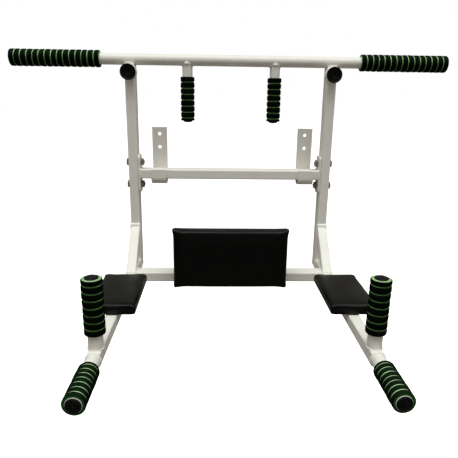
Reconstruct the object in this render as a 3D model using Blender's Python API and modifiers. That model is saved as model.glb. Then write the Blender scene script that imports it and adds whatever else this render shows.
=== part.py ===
"""Wall-mounted pull-up and dip station.

Two flat J-shaped hooks screw to the wall. A welded tube frame hangs in them by its upper cross tube
and lifts straight up to come off. The frame carries the pull-up bar with two neutral handles under it,
a back pad, and two arms with elbow pads, upright hand posts and dip handles.

Units are metres. The wall is the plane Y = 0, the user stands on the -Y side and +Z is up. The origin
lies on the wall, in the middle of the frame's width and halfway between the upper and lower wall holes.
"""

import math

import bmesh
import bpy
from mathutils import Matrix, Vector

# Fits
GAP = 0.0003  # between pieces that touch or are welded
HOLE_CLEARANCE = 0.0003  # round a bolt's shank

# Rectangular stock of the uprights and both cross tubes
TUBE_WIDTH = 0.025
TUBE_DEPTH = 0.040
TUBE_WALL = 0.002
TUBE_CORNER = 0.003

# Square stock of the arms and braces
ARM_TUBE = 0.025
ARM_WALL = 0.002
ARM_CORNER = 0.003

# Round stock of the bar, posts and dip handles, and the thinner one of the neutral handles
BAR_RADIUS = 0.014
NEUTRAL_RADIUS = 0.013
ROUND_WALL = 0.002

# Wall hooks
HOOK_INSET = 0.061  # from an upright's centre in to a hook's centre
HOOK_SHIFT = 0.007  # how far both hooks stand to the right of the frame's middle
HOOK_WIDTH = 0.040
HOOK_THICKNESS = 0.005
HOOK_BEND_RADIUS = 0.012
HOOK_TOP_MARGIN = 0.018
WALL_HOLE_RADIUS = 0.00475
WALL_HOLE_SPACING = 0.035

# Frame
FRAME_WIDTH = 0.518  # between the centres of the uprights
BAR_OVERHANG = 0.300  # from an upright's centre out to the bar's end
BAR_Z = 0.206
HOOK_TUBE_Z = -0.086
ARM_BOTTOM_Z = -0.353
ARM_LENGTH = 0.510
SADDLE_DEPTH = 0.006  # how far the uprights' tops reach up round the bar
BRACE_ANGLE = math.radians(45)
LOWER_TUBE_REACH = 0.085  # from the uprights' front to the centre of the lower cross tube

# Side plates, which bolt the hook tube to the uprights
PLATE_HEIGHT = 0.100
PLATE_THICKNESS = 0.005
PLATE_CORNER = 0.008
PLATE_BOLT_SPACING = 0.060
PLATE_BOLT_RADIUS = 0.005
PLATE_BOLT_ACROSS = 0.017
PLATE_HEAD_HEIGHT = 0.0065
PLATE_NUT_HEIGHT = 0.008
PLATE_BOLT_END = 0.002  # the thread that shows past the nut

# Neutral handles
NEUTRAL_SPACING = 0.226
NEUTRAL_BARE = 0.041  # from the bar's axis down to the grip
NEUTRAL_GRIP_LENGTH = 0.110
NEUTRAL_GRIP_RADIUS = 0.018

# Posts and dip handles
POST_SETBACK = 0.025  # from the arm's front end to the post's axis
POST_BARE = 0.030
POST_GRIP_LENGTH = 0.107
DIP_BARE = 0.032
DIP_GRIP_LENGTH = 0.095
DIP_TUBE_END = 0.001  # bare tube past the grip's front
HAND_GRIP_RADIUS = 0.0195

# Foam grips
BAR_GRIP_LENGTH = 0.224
BAR_GRIP_RADIUS = 0.021
BAR_GRIP_RIBS = 15
SHORT_GRIP_RIBS = 8
GROOVE_WIDTH = 0.0045
GROOVE_DEPTH = 0.0018
GRIP_EDGE = 0.0012

# Plugs
PLUG_LENGTH = 0.014
PLUG_MARGIN = 0.0013  # the tube's end that shows round the plug
PLUG_FLANGE = 0.0015
PLUG_DOME = 0.003

# Round stubs on the uprights' fronts
STUB_RADIUS = 0.020
STUB_WALL = 0.002
STUB_LENGTH = 0.022
STUB_DROP = 0.032  # from the bar's axis down to the stub's axis
STUB_PLUG_FLANGE = 0.004
STUB_PLUG_LENGTH = 0.010
STUB_PLUG_RIM = 0.004
STUB_PLUG_RECESS = 0.0018
STUB_PLUG_CHAMFER = 0.001

# Pads
BOARD_THICKNESS = 0.010
BOARD_INSET = 0.008  # from the cushion's edge in to the board's edge
BOARD_CORNER = 0.008
COVER_FOLD = 0.001  # how far the board's back stands out of the cover
BACK_PAD_WIDTH = 0.290
BACK_PAD_HEIGHT = 0.151
BACK_PAD_THICKNESS = 0.032
BACK_PAD_DROP = 0.004  # from the arms' underside down to the pad's lower edge
ELBOW_PAD_WIDTH = 0.100
ELBOW_PAD_LENGTH = 0.184
ELBOW_PAD_THICKNESS = 0.025
ELBOW_PAD_REACH = 0.262  # from the uprights' front to the pad's centre
CAGE_MARGIN = 0.002  # how far the cage stands outside the smooth cover
CROWN = 0.003
SIDE_DRAW = 0.0035
EDGE_DROP = 0.003  # how far the top's edge lies under its face
EDGE_INSET = 0.0015

# Back pad bracket and the pads' screws
BRACKET_WIDTH = 0.120
BRACKET_HEIGHT = 0.095
BRACKET_THICKNESS = 0.004
BRACKET_CORNER = 0.012
BRACKET_SCREW_SPACING = 0.080
BRACKET_SCREW_DROP = 0.020  # from the bracket's top down to its screws
PAD_SCREW_RADIUS = 0.003
PAD_SCREW_ACROSS = 0.010
PAD_SCREW_HEAD = 0.004
PAD_SCREW_BITE = 0.008  # how deep a screw goes into the board
ELBOW_SCREW_SPACING = 0.100

# Facets
SHARP_ANGLE = math.radians(35)
CORNER_STEPS = 3
ROUND_STEPS = 16
DOME_STEPS = 3
HOLE_STEPS = 12
BEND_STEPS = 6
BACK_PAD_CELLS = (8, 5)
ELBOW_PAD_CELLS = (4, 6)

# Planes and axes that several pieces share
FRAME_BACK_Y = -(HOOK_THICKNESS + GAP)
FRAME_Y = FRAME_BACK_Y - TUBE_DEPTH / 2
UPRIGHT_FRONT_Y = FRAME_BACK_Y - TUBE_DEPTH
UPRIGHT_X = FRAME_WIDTH / 2
PLATE_OUTER_X = UPRIGHT_X - TUBE_WIDTH / 2 - GAP
PLATE_INNER_X = PLATE_OUTER_X - PLATE_THICKNESS
BAR_LENGTH = FRAME_WIDTH + 2 * BAR_OVERHANG
HOOK_X = UPRIGHT_X - HOOK_INSET
UPRIGHT_TOP_Z = BAR_Z - BAR_RADIUS + SADDLE_DEPTH
ARM_Z = ARM_BOTTOM_Z + ARM_TUBE / 2
ARM_TOP_Z = ARM_BOTTOM_Z + ARM_TUBE
ARM_END_Y = UPRIGHT_FRONT_Y - GAP - ARM_LENGTH
LOWER_TUBE_Y = UPRIGHT_FRONT_Y - LOWER_TUBE_REACH
LOWER_TUBE_Z = ARM_TOP_Z - TUBE_WIDTH / 2
LOWER_TUBE_FRONT_Y = LOWER_TUBE_Y - TUBE_DEPTH / 2
POST_Y = ARM_END_Y + POST_SETBACK
ELBOW_PAD_Y = UPRIGHT_FRONT_Y - ELBOW_PAD_REACH
BRACKET_TOP_Z = ARM_TOP_Z + GAP + BRACKET_HEIGHT

SIDES = ((-1, "left"), (1, "right"))

# Turns that lay a piece's own Z along another axis
UPRIGHT = (0, 0, 0)
ALONG_X = (0, math.pi / 2, 0)
ALONG_MINUS_X = (0, -math.pi / 2, 0)
ALONG_MINUS_Y = (math.pi / 2, 0, 0)
DOWNWARD = (math.pi, 0, 0)

# Colour, roughness and metallic value of each material
COATS = {
    "powder_coat": ((0.80, 0.79, 0.74), 0.45, 0.0),
    "foam": ((0.012, 0.016, 0.012), 0.85, 0.0),
    "black_plastic": ((0.012, 0.012, 0.014), 0.40, 0.0),
    "leatherette": ((0.020, 0.020, 0.018), 0.45, 0.0),
    "plywood": ((0.55, 0.38, 0.21), 0.75, 0.0),
    "dark_steel": ((0.06, 0.06, 0.06), 0.40, 1.0),
}


def clear_scene():
    for thing in list(bpy.data.objects):
        bpy.data.objects.remove(thing)


def new_collection(name):
    made = bpy.data.collections.new(name)
    bpy.context.scene.collection.children.link(made)
    return made


def new_empty(name, place):
    empty = bpy.data.objects.new(name, None)
    empty.location = place
    PARTS.objects.link(empty)
    return empty


def new_material(name):
    colour, roughness, metallic = COATS[name]
    made = bpy.data.materials.new(name)
    made.use_nodes = True
    shader = made.node_tree.nodes["Principled BSDF"]
    shader.inputs["Base Color"].default_value = (*colour, 1)
    shader.inputs["Roughness"].default_value = roughness
    shader.inputs["Metallic"].default_value = metallic
    made.diffuse_color = (*colour, 1)
    return made


def add_piece(name, mesh, coat, carrier, place=(0, 0, 0), turn=UPRIGHT):
    """One piece of the station: a mesh with its own material, held by the empty that carries it."""
    piece = bpy.data.objects.new(name, mesh)
    mesh.materials.clear()
    mesh.materials.append(new_material(coat))
    piece.parent = carrier
    piece.matrix_parent_inverse = Matrix.Translation(-Vector(carrier.location))
    piece.location = place
    piece.rotation_euler = turn
    PARTS.objects.link(piece)
    return piece


def add_helper(name, mesh, place, turn):
    """A cutter, or a shape that a union adds to a piece."""
    helper = bpy.data.objects.new(name, mesh)
    helper.location = place
    helper.rotation_euler = turn
    helper.hide_render = True
    helper.display_type = "WIRE"
    CUTTERS.objects.link(helper)
    return helper


def combine(piece, helper, operation="DIFFERENCE"):
    boolean = piece.modifiers.new(helper.name, "BOOLEAN")
    boolean.operation = operation
    boolean.object = helper
    boolean.solver = "EXACT"


def circle(radius, steps, centre=(0, 0)):
    turns = [2 * math.pi * step / steps for step in range(steps)]
    return [(centre[0] + radius * math.cos(t), centre[1] + radius * math.sin(t)) for t in turns]


def arc(centre, radius, start, end, steps):
    """Points from one angle in degrees to another, both ends included."""
    turns = [math.radians(start + (end - start) * step / steps) for step in range(steps + 1)]
    return [(centre[0] + radius * math.cos(t), centre[1] + radius * math.sin(t)) for t in turns]


def rounded_rectangle(width, height, radius):
    x, y = width / 2 - radius, height / 2 - radius
    points = []
    for quarter, corner in enumerate(((x, y), (-x, y), (-x, -y), (x, -y))):
        points += arc(corner, radius, 90 * quarter, 90 * quarter + 90, CORNER_STEPS)
    return points


def hexagon(across_flats):
    return circle(across_flats / math.sqrt(3), 6)


def extruded(name, loops, length):
    """A flat outline with its holes, drawn out by a length along Z and centred on it."""
    curve = bpy.data.curves.new(name, "CURVE")
    curve.dimensions = "2D"
    curve.fill_mode = "BOTH"
    curve.extrude = length / 2
    for loop in loops:
        spline = curve.splines.new("POLY")
        spline.points.add(len(loop) - 1)
        for point, (x, y) in zip(spline.points, loop):
            point.co = (x, y, 0, 1)
        spline.use_cyclic_u = True
    drawn = bpy.data.objects.new(name, curve)
    bpy.context.scene.collection.objects.link(drawn)
    graph = bpy.context.evaluated_depsgraph_get()
    mesh = bpy.data.meshes.new_from_object(drawn.evaluated_get(graph))
    bpy.data.objects.remove(drawn)
    bpy.data.curves.remove(curve)
    shape = bmesh.new()
    shape.from_mesh(mesh)
    bmesh.ops.remove_doubles(shape, verts=shape.verts, dist=0.00001)
    bmesh.ops.recalc_face_normals(shape, faces=shape.faces)
    shape.to_mesh(mesh)
    shape.free()
    mesh.name = name
    soften(mesh)
    return mesh


def soften(mesh):
    mesh.shade_smooth()
    mesh.set_sharp_from_angle(angle=SHARP_ANGLE)


def rectangular_tube(name, length):
    outside = rounded_rectangle(TUBE_WIDTH, TUBE_DEPTH, TUBE_CORNER)
    hollow = (TUBE_WIDTH - 2 * TUBE_WALL, TUBE_DEPTH - 2 * TUBE_WALL)
    inside = rounded_rectangle(*hollow, TUBE_CORNER - TUBE_WALL)
    return extruded(name, [outside, inside], length)


def square_hollow():
    hollow = ARM_TUBE - 2 * ARM_WALL
    return rounded_rectangle(hollow, hollow, ARM_CORNER - ARM_WALL)


def round_tube(name, radius, length):
    outside = circle(radius, ROUND_STEPS)
    inside = circle(radius - ROUND_WALL, ROUND_STEPS)
    return extruded(name, [outside, inside], length)


def rod(name, radius, length, steps=HOLE_STEPS):
    """A plain cylinder that starts at the origin and runs up Z."""
    mesh = bpy.data.meshes.new(name)
    shape = bmesh.new()
    lift = Matrix.Translation((0, 0, length / 2))
    bmesh.ops.create_cone(
        shape, cap_ends=True, segments=steps, radius1=radius, radius2=radius, depth=length, matrix=lift
    )
    shape.to_mesh(mesh)
    shape.free()
    return mesh


def block(name, size):
    """A box centred on the origin."""
    mesh = bpy.data.meshes.new(name)
    shape = bmesh.new()
    bmesh.ops.create_cube(shape, size=1, matrix=Matrix.Diagonal((*size, 1)))
    shape.to_mesh(mesh)
    shape.free()
    return mesh


def turned(name, profile, steps, coat, carrier, place, turn, closed=False):
    """A profile of (radius, height) points, running down its outer side, spun round Z."""
    mesh = bpy.data.meshes.new(name)
    edges = [(index, index + 1) for index in range(len(profile) - 1)]
    if closed:
        edges.append((len(profile) - 1, 0))
    mesh.from_pydata([(radius, 0, height) for radius, height in profile], edges, [])
    piece = add_piece(name, mesh, coat, carrier, place, turn)
    screw = piece.modifiers.new("spin", "SCREW")
    screw.steps = steps
    screw.render_steps = steps
    screw.use_merge_vertices = True
    screw.merge_threshold = 0.00001
    screw.use_smooth_shade = True
    return piece


def foam_grip(name, bore, radius, length, ribs, carrier, place, turn):
    """A ribbed foam sleeve. Its free end is at the origin and it runs down -Z; its first rib is short."""
    pitch = (length + GROOVE_WIDTH) / (ribs - 0.5)
    outer = [(radius - GRIP_EDGE, 0)]
    groove_top = pitch / 2 - GROOVE_WIDTH
    for _ in range(ribs - 1):
        outer.append((radius, -groove_top))
        outer.append((radius - GROOVE_DEPTH, -groove_top - GROOVE_WIDTH / 2))
        outer.append((radius, -groove_top - GROOVE_WIDTH))
        groove_top += pitch
    outer.append((radius - GRIP_EDGE, -length))
    profile = [*outer, (bore, -length), (bore, 0)]
    return turned(name, profile, ROUND_STEPS, "foam", carrier, place, turn, closed=True)


def plug_profile(tube_radius):
    """A domed plug whose flange rests on a tube's end at height 0 and whose stem fills its bore."""
    stem = tube_radius - ROUND_WALL - GAP
    flange = tube_radius - PLUG_MARGIN
    turns = [math.pi / 2 * step / DOME_STEPS for step in range(DOME_STEPS + 1)]
    crown = [(flange * math.sin(t), PLUG_FLANGE + PLUG_DOME * math.cos(t)) for t in turns]
    return [*crown, (flange, 0), (stem, 0), (stem, -PLUG_LENGTH), (0, -PLUG_LENGTH)]


def rimmed_plug_profile(bore, flange_radius, flange):
    """A flat plug with a raised rim round its face."""
    stem = bore - GAP
    face = flange - STUB_PLUG_RECESS
    rim = flange_radius - STUB_PLUG_RIM
    return [
        (0, face),
        (rim - STUB_PLUG_CHAMFER, face),
        (rim, flange),
        (flange_radius - STUB_PLUG_CHAMFER, flange),
        (flange_radius, flange - STUB_PLUG_CHAMFER),
        (flange_radius, 0),
        (stem, 0),
        (stem, -STUB_PLUG_LENGTH),
        (0, -STUB_PLUG_LENGTH),
    ]


def hex_bolt(name, across, head, radius, length, carrier, place, turn):
    """A bolt whose head sits below the origin and whose shank runs up Z."""
    mesh = extruded(name, [hexagon(across)], head)
    mesh.transform(Matrix.Translation((0, 0, -head / 2)))
    bolt = add_piece(name, mesh, "dark_steel", carrier, place, turn)
    shank = rod(name + "_shank", radius, length + head / 2)
    shank.transform(Matrix.Translation((0, 0, -head / 2)))
    combine(bolt, add_helper(name + "_shank", shank, place, turn), "UNION")
    return bolt


def wall_hook(side, word):
    """A flat strip, bent up round the hook tube into a lip as high as the tube."""
    seat_front = -(HOOK_THICKNESS + TUBE_DEPTH + 2 * GAP)
    inner, outer = HOOK_BEND_RADIUS, HOOK_BEND_RADIUS + HOOK_THICKNESS
    bend_z = HOOK_TUBE_Z - TUBE_WIDTH / 2 + TUBE_CORNER
    back_centre = (-HOOK_THICKNESS - inner, bend_z)
    front_centre = (seat_front + inner, bend_z)
    lip_z = HOOK_TUBE_Z + TUBE_WIDTH / 2
    top_z = WALL_HOLE_SPACING / 2 + HOOK_TOP_MARGIN
    outline = [
        (0, top_z),
        *arc(back_centre, outer, 0, -90, BEND_STEPS),
        *arc(front_centre, outer, -90, -180, BEND_STEPS),
        (seat_front - HOOK_THICKNESS, lip_z),
        (seat_front, lip_z),
        *arc(front_centre, inner, -180, -90, BEND_STEPS),
        *arc(back_centre, inner, -90, 0, BEND_STEPS),
        (-HOOK_THICKNESS, top_z),
    ]
    name = f"wall_hook_{word}"
    mesh = extruded(name, [outline], HOOK_WIDTH)
    # The outline is drawn in Y and Z, so its own Z, the strip's width, turns to X
    mesh.transform(Matrix(((0, 0, 1, 0), (1, 0, 0, 0), (0, 1, 0, 0), (0, 0, 0, 1))))
    place = (HOOK_SHIFT + side * HOOK_X, 0, 0)
    hook = add_piece(name, mesh, "powder_coat", WALL, place)
    for row in (-1, 1):
        hole = rod(f"{name}_hole", WALL_HOLE_RADIUS, 3 * HOOK_THICKNESS)
        centre = (place[0], HOOK_THICKNESS, row * WALL_HOLE_SPACING / 2)
        combine(hook, add_helper(f"{name}_hole_{row}", hole, centre, ALONG_MINUS_Y))


def bar_saddle():
    """The cutter that copes what is welded under the bar."""
    length = FRAME_WIDTH + 4 * TUBE_WIDTH
    mesh = rod("bar_saddle", BAR_RADIUS + GAP, length, ROUND_STEPS)
    return add_helper("bar_saddle", mesh, (-length / 2, FRAME_Y, BAR_Z), ALONG_X)


def upright(side, word, saddle):
    height = UPRIGHT_TOP_Z - ARM_BOTTOM_Z
    name = f"upright_{word}"
    mesh = rectangular_tube(name, height)
    place = (side * UPRIGHT_X, FRAME_Y, ARM_BOTTOM_Z + height / 2)
    post = add_piece(name, mesh, "powder_coat", FRAME, place)
    combine(post, saddle)
    for row in (-1, 1):
        hole = rod(name + "_hole", PLATE_BOLT_RADIUS + HOLE_CLEARANCE, 2 * TUBE_WIDTH)
        centre = (side * UPRIGHT_X - TUBE_WIDTH, FRAME_Y, HOOK_TUBE_Z + row * PLATE_BOLT_SPACING / 2)
        combine(post, add_helper(f"{name}_hole_{row}", hole, centre, ALONG_X))


def side_plate(side, word):
    """The plate welded to the hook tube's end and bolted to the upright's inner side."""
    hole = PLATE_BOLT_RADIUS + HOLE_CLEARANCE
    loops = [rounded_rectangle(PLATE_HEIGHT, TUBE_DEPTH, PLATE_CORNER)]
    for row in (-1, 1):
        loops.append(circle(hole, HOLE_STEPS, (row * PLATE_BOLT_SPACING / 2, 0)))
    name = f"side_plate_{word}"
    mesh = extruded(name, loops, PLATE_THICKNESS)
    place = (side * (PLATE_OUTER_X + PLATE_INNER_X) / 2, FRAME_Y, HOOK_TUBE_Z)
    add_piece(name, mesh, "powder_coat", FRAME, place, ALONG_X)


def plate_fasteners(side, word):
    """Bolts from the upright's outer side, with their nuts on the side plate."""
    outer_face = UPRIGHT_X + TUBE_WIDTH / 2 + GAP
    nut_face = PLATE_INNER_X - GAP
    length = outer_face - nut_face + PLATE_NUT_HEIGHT + PLATE_BOLT_END
    inward = ALONG_MINUS_X if side > 0 else ALONG_X
    for row, level in ((1, "upper"), (-1, "lower")):
        z = HOOK_TUBE_Z + row * PLATE_BOLT_SPACING / 2
        name = f"plate_bolt_{word}_{level}"
        place = (side * outer_face, FRAME_Y, z)
        hex_bolt(name, PLATE_BOLT_ACROSS, PLATE_HEAD_HEIGHT, PLATE_BOLT_RADIUS, length, FRAME, place, inward)
        name = f"plate_nut_{word}_{level}"
        bore = circle(PLATE_BOLT_RADIUS + GAP, HOLE_STEPS)
        mesh = extruded(name, [hexagon(PLATE_BOLT_ACROSS), bore], PLATE_NUT_HEIGHT)
        place = (side * (nut_face - PLATE_NUT_HEIGHT / 2), FRAME_Y, z)
        add_piece(name, mesh, "dark_steel", FRAME, place, inward)


def hook_tube():
    """The upper cross tube, which hangs in the wall hooks."""
    mesh = rectangular_tube("hook_tube", 2 * (PLATE_INNER_X - GAP))
    add_piece("hook_tube", mesh, "powder_coat", FRAME, (0, FRAME_Y, HOOK_TUBE_Z), ALONG_X)


def pull_up_bar():
    mesh = round_tube("pull_up_bar", BAR_RADIUS, BAR_LENGTH)
    add_piece("pull_up_bar", mesh, "powder_coat", FRAME, (0, FRAME_Y, BAR_Z), ALONG_X)
    for side, word in SIDES:
        outward = ALONG_X if side > 0 else ALONG_MINUS_X
        end = (side * BAR_LENGTH / 2, FRAME_Y, BAR_Z)
        grip = (BAR_RADIUS + GAP, BAR_GRIP_RADIUS, BAR_GRIP_LENGTH, BAR_GRIP_RIBS)
        foam_grip(f"bar_grip_{word}", *grip, FRAME, end, outward)
        profile = plug_profile(BAR_RADIUS)
        plug_place = (end[0] + side * GAP, FRAME_Y, BAR_Z)
        turned(f"bar_plug_{word}", profile, ROUND_STEPS, "black_plastic", FRAME, plug_place, outward)


def neutral_handle(side, word, saddle):
    """A short tube hanging from the bar, coped to it, with a grip and a plug on its lower end."""
    x = side * NEUTRAL_SPACING / 2
    length = NEUTRAL_BARE + NEUTRAL_GRIP_LENGTH
    bottom_z = BAR_Z - length
    mesh = round_tube(f"neutral_handle_{word}", NEUTRAL_RADIUS, length)
    place = (x, FRAME_Y, BAR_Z - length / 2)
    combine(add_piece(f"neutral_handle_{word}", mesh, "powder_coat", FRAME, place), saddle)
    end = (x, FRAME_Y, bottom_z)
    grip = (NEUTRAL_RADIUS + GAP, NEUTRAL_GRIP_RADIUS, NEUTRAL_GRIP_LENGTH, SHORT_GRIP_RIBS)
    foam_grip(f"neutral_grip_{word}", *grip, FRAME, end, DOWNWARD)
    profile = plug_profile(NEUTRAL_RADIUS)
    end = (x, FRAME_Y, bottom_z - GAP)
    turned(f"neutral_plug_{word}", profile, ROUND_STEPS, "black_plastic", FRAME, end, DOWNWARD)


def front_stub(side, word):
    """A short round stub on the upright's front, closed by a flat black plug."""
    z = BAR_Z - STUB_DROP
    bore = STUB_RADIUS - STUB_WALL
    cup = [
        (STUB_RADIUS, STUB_LENGTH),
        (STUB_RADIUS, 0),
        (0, 0),
        (0, STUB_WALL),
        (bore, STUB_WALL),
        (bore, STUB_LENGTH),
    ]
    base_y = UPRIGHT_FRONT_Y - GAP
    place = (side * UPRIGHT_X, base_y, z)
    turned(f"front_stub_{word}", cup, ROUND_STEPS, "powder_coat", FRAME, place, ALONG_MINUS_Y, closed=True)
    profile = rimmed_plug_profile(bore, STUB_RADIUS, STUB_PLUG_FLANGE)
    place = (side * UPRIGHT_X, base_y - STUB_LENGTH - GAP, z)
    turned(f"front_stub_plug_{word}", profile, ROUND_STEPS, "black_plastic", FRAME, place, ALONG_MINUS_Y)


def lower_cross_tube():
    """The tube between the arms, under the braces' feet, which the back pad leans on."""
    length = 2 * (UPRIGHT_X - ARM_TUBE / 2 - GAP)
    mesh = rectangular_tube("lower_cross_tube", length)
    place = (0, LOWER_TUBE_Y, LOWER_TUBE_Z)
    add_piece("lower_cross_tube", mesh, "powder_coat", FRAME, place, ALONG_X)


def brace_cutters():
    """Blocks that trim the braces to the arms' tops and to the uprights' fronts."""
    reach = 4 * LOWER_TUBE_REACH
    size = (2 * FRAME_WIDTH, reach, reach)
    below = (0, LOWER_TUBE_Y, ARM_TOP_Z + GAP - reach / 2)
    behind = (0, UPRIGHT_FRONT_Y - GAP + reach / 2, ARM_TOP_Z)
    return [
        add_helper("arm_top_trim", block("arm_top_trim", size), below, UPRIGHT),
        add_helper("upright_front_trim", block("upright_front_trim", size), behind, UPRIGHT),
    ]


def brace(side, word, cutters):
    """A diagonal from the upright's front down to the arm, its foot over the lower cross tube."""
    rise = LOWER_TUBE_REACH / math.tan(BRACE_ANGLE)
    length = math.hypot(LOWER_TUBE_REACH, rise) + 4 * ARM_TUBE
    outside = rounded_rectangle(ARM_TUBE, ARM_TUBE, ARM_CORNER)
    mesh = extruded(f"brace_{word}", [outside, square_hollow()], length)
    place = (side * UPRIGHT_X, (LOWER_TUBE_Y + UPRIGHT_FRONT_Y) / 2, ARM_TOP_Z + rise / 2)
    piece = add_piece(f"brace_{word}", mesh, "powder_coat", FRAME, place, (-BRACE_ANGLE, 0, 0))
    for cutter in cutters:
        combine(piece, cutter)


def elbow_screw_places(side):
    for row, word in ((-1, "front"), (1, "back")):
        yield word, (side * UPRIGHT_X, ELBOW_PAD_Y + row * ELBOW_SCREW_SPACING / 2)


def arm(side, word):
    """A square tube forward from the upright, closed at its front end and drilled for the pad's screws."""
    name = f"arm_{word}"
    outside = rounded_rectangle(ARM_TUBE, ARM_TUBE, ARM_CORNER)
    place = (side * UPRIGHT_X, ARM_END_Y + ARM_LENGTH / 2, ARM_Z)
    piece = add_piece(name, extruded(name, [outside], ARM_LENGTH), "powder_coat", FRAME, place, ALONG_MINUS_Y)
    hollow = extruded(name + "_hollow", [square_hollow()], ARM_LENGTH)
    place = (place[0], place[1] + ARM_WALL, ARM_Z)
    combine(piece, add_helper(name + "_hollow", hollow, place, ALONG_MINUS_Y))
    for end, (x, y) in elbow_screw_places(side):
        hole = rod(name + "_hole", PAD_SCREW_RADIUS + HOLE_CLEARANCE, 2 * ARM_TUBE)
        centre = (x, y, ARM_BOTTOM_Z - ARM_TUBE / 2)
        combine(piece, add_helper(f"{name}_hole_{end}", hole, centre, UPRIGHT))


def post(side, word):
    """An upright hand post on the arm, with a grip and a plug on its top end."""
    length = POST_BARE + POST_GRIP_LENGTH
    foot_z = ARM_TOP_Z + GAP
    x = side * UPRIGHT_X
    mesh = round_tube(f"post_{word}", BAR_RADIUS, length)
    add_piece(f"post_{word}", mesh, "powder_coat", FRAME, (x, POST_Y, foot_z + length / 2))
    top = (x, POST_Y, foot_z + length)
    grip = (BAR_RADIUS + GAP, HAND_GRIP_RADIUS, POST_GRIP_LENGTH, SHORT_GRIP_RIBS)
    foam_grip(f"post_grip_{word}", *grip, FRAME, top, UPRIGHT)
    profile = plug_profile(BAR_RADIUS)
    top = (x, POST_Y, foot_z + length + GAP)
    turned(f"post_plug_{word}", profile, ROUND_STEPS, "black_plastic", FRAME, top, UPRIGHT)


def dip_handle(side, word):
    """A round handle straight on from the arm's end, with a grip and a plug on its front end."""
    length = DIP_BARE + DIP_GRIP_LENGTH + DIP_TUBE_END
    x = side * UPRIGHT_X
    back_y = ARM_END_Y - GAP
    front_y = back_y - length
    mesh = round_tube(f"dip_handle_{word}", BAR_RADIUS, length)
    place = (x, back_y - length / 2, ARM_Z)
    add_piece(f"dip_handle_{word}", mesh, "powder_coat", FRAME, place, ALONG_MINUS_Y)
    grip = (BAR_RADIUS + GAP, HAND_GRIP_RADIUS, DIP_GRIP_LENGTH, SHORT_GRIP_RIBS)
    grip_end = (x, front_y + DIP_TUBE_END, ARM_Z)
    foam_grip(f"dip_grip_{word}", *grip, FRAME, grip_end, ALONG_MINUS_Y)
    profile = plug_profile(BAR_RADIUS)
    end = (x, front_y - GAP, ARM_Z)
    turned(f"dip_plug_{word}", profile, ROUND_STEPS, "black_plastic", FRAME, end, ALONG_MINUS_Y)


def cushion_mesh(name, width, height, thickness, cells):
    """A padded cover lying on Z = 0: crowned on top, with sides drawn in between its corners."""
    across, along = cells
    mesh = bpy.data.meshes.new(name)
    shape = bmesh.new()
    bmesh.ops.create_cube(shape, size=2)
    for axis, cuts in ((0, across - 1), (1, along - 1), (2, 1)):
        edges = [e for e in shape.edges if abs(e.verts[0].co[axis] - e.verts[1].co[axis]) > 1]
        bmesh.ops.subdivide_edges(shape, edges=edges, cuts=cuts, use_grid_fill=True)
    on_rim = {vert for vert in shape.verts if max(abs(vert.co.x), abs(vert.co.y)) > 0.99}
    crease = shape.edges.layers.float.new("crease_edge")
    for edge in shape.edges:
        if all(vert in on_rim and vert.co.z < -0.99 for vert in edge.verts):
            edge[crease] = 1
    for vert in shape.verts:
        u, v, w = vert.co
        on_top = w > 0.99
        margin = CAGE_MARGIN - EDGE_INSET * on_top
        x = u * (width / 2 + margin - SIDE_DRAW * (1 - v * v))
        y = v * (height / 2 + margin - SIDE_DRAW * (1 - u * u))
        z = (w + 1) / 2 * (thickness - CROWN)
        if on_top:
            z += CROWN * (1 - u * u) * (1 - v * v) - EDGE_DROP * (vert in on_rim)
        vert.co = (x, y, z)
    shape.to_mesh(mesh)
    shape.free()
    mesh.shade_smooth()
    return mesh


def cushion(name, width, height, thickness, cells, board, place, turn):
    """The foam and its cover, with a pocket under it for the board, which stands out a little."""
    mesh = cushion_mesh(name, width, height, thickness - COVER_FOLD, cells)
    piece = add_piece(name, mesh, "leatherette", FRAME, place, turn)
    smooth = piece.modifiers.new("smooth", "SUBSURF")
    smooth.levels = 1
    smooth.render_levels = 1
    depth = BOARD_THICKNESS - COVER_FOLD + GAP
    outline = rounded_rectangle(board[0] + 2 * GAP, board[1] + 2 * GAP, BOARD_CORNER + GAP)
    pocket = extruded(name + "_pocket", [outline], 2 * depth)
    combine(piece, add_helper(name + "_pocket", pocket, place, turn))


def back_pad():
    """The padded back rest on the lower cross tube's front and on its bracket."""
    board = (BACK_PAD_WIDTH - 2 * BOARD_INSET, BACK_PAD_HEIGHT - 2 * BOARD_INSET)
    centre_z = ARM_BOTTOM_Z - BACK_PAD_DROP + BACK_PAD_HEIGHT / 2
    back_y = LOWER_TUBE_FRONT_Y - GAP
    screw_z = BRACKET_TOP_Z - BRACKET_SCREW_DROP
    hole = PAD_SCREW_RADIUS + HOLE_CLEARANCE
    loops = [rounded_rectangle(*board, BOARD_CORNER)]
    for side, _ in SIDES:
        loops.append(circle(hole, HOLE_STEPS, (side * BRACKET_SCREW_SPACING / 2, screw_z - centre_z)))
    mesh = extruded("back_pad_board", loops, BOARD_THICKNESS)
    place = (0, back_y - BOARD_THICKNESS / 2, centre_z)
    add_piece("back_pad_board", mesh, "plywood", FRAME, place, ALONG_MINUS_Y)
    place = (0, back_y - COVER_FOLD, centre_z)
    size = (BACK_PAD_WIDTH, BACK_PAD_HEIGHT, BACK_PAD_THICKNESS)
    cushion("back_pad_cushion", *size, BACK_PAD_CELLS, board, place, ALONG_MINUS_Y)


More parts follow.
